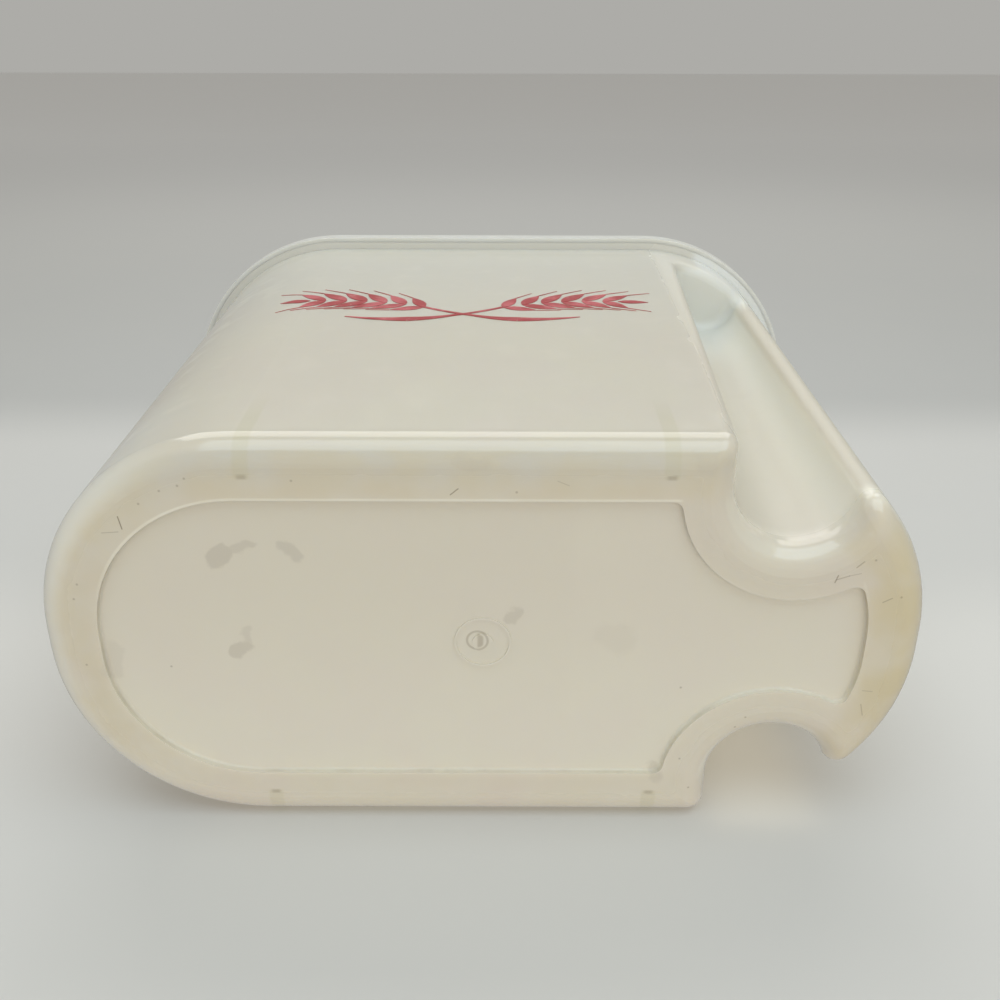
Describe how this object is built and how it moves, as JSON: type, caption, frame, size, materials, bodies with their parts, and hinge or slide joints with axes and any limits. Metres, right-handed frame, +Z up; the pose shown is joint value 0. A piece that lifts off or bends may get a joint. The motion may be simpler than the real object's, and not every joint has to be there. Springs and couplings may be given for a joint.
{
  "type": "cereal container",
  "caption": "Tall oblong keeper in milky plastic with round ends, a moulded finger-groove grip, a push-on lid and a flip-up pouring flap.",
  "frame": {"origin": "on the table plane under the middle of the base", "axes": "+Z up along the container's height, +X towards the grip, -X towards the pouring flap, -Y towards the printed broad face"},
  "size_m": [0.2528, 0.1282, 0.2049],
  "materials": {
    "container_plastic": "milky translucent polypropylene, yellowed with age",
    "lid_plastic": "milky white polyethylene, satin"
  },
  "bodies": {
    "container": {"container": "container_plastic"},
    "lid": {"lid": "lid_plastic"},
    "pour_flap": {"pour_flap": "lid_plastic"}
  },
  "joints": [
    {"name": "lid_lift", "type": "slide", "parent": "container", "child": "lid", "axis": [0, 0, 1], "range_m": [0, 0.06]},
    {"name": "flap_hinge", "type": "hinge", "parent": "lid", "child": "pour_flap", "pos_m": [-0.036, 0, 0.2021], "axis": [0, 1, 0], "range_deg": [0, 175]}
  ]
}
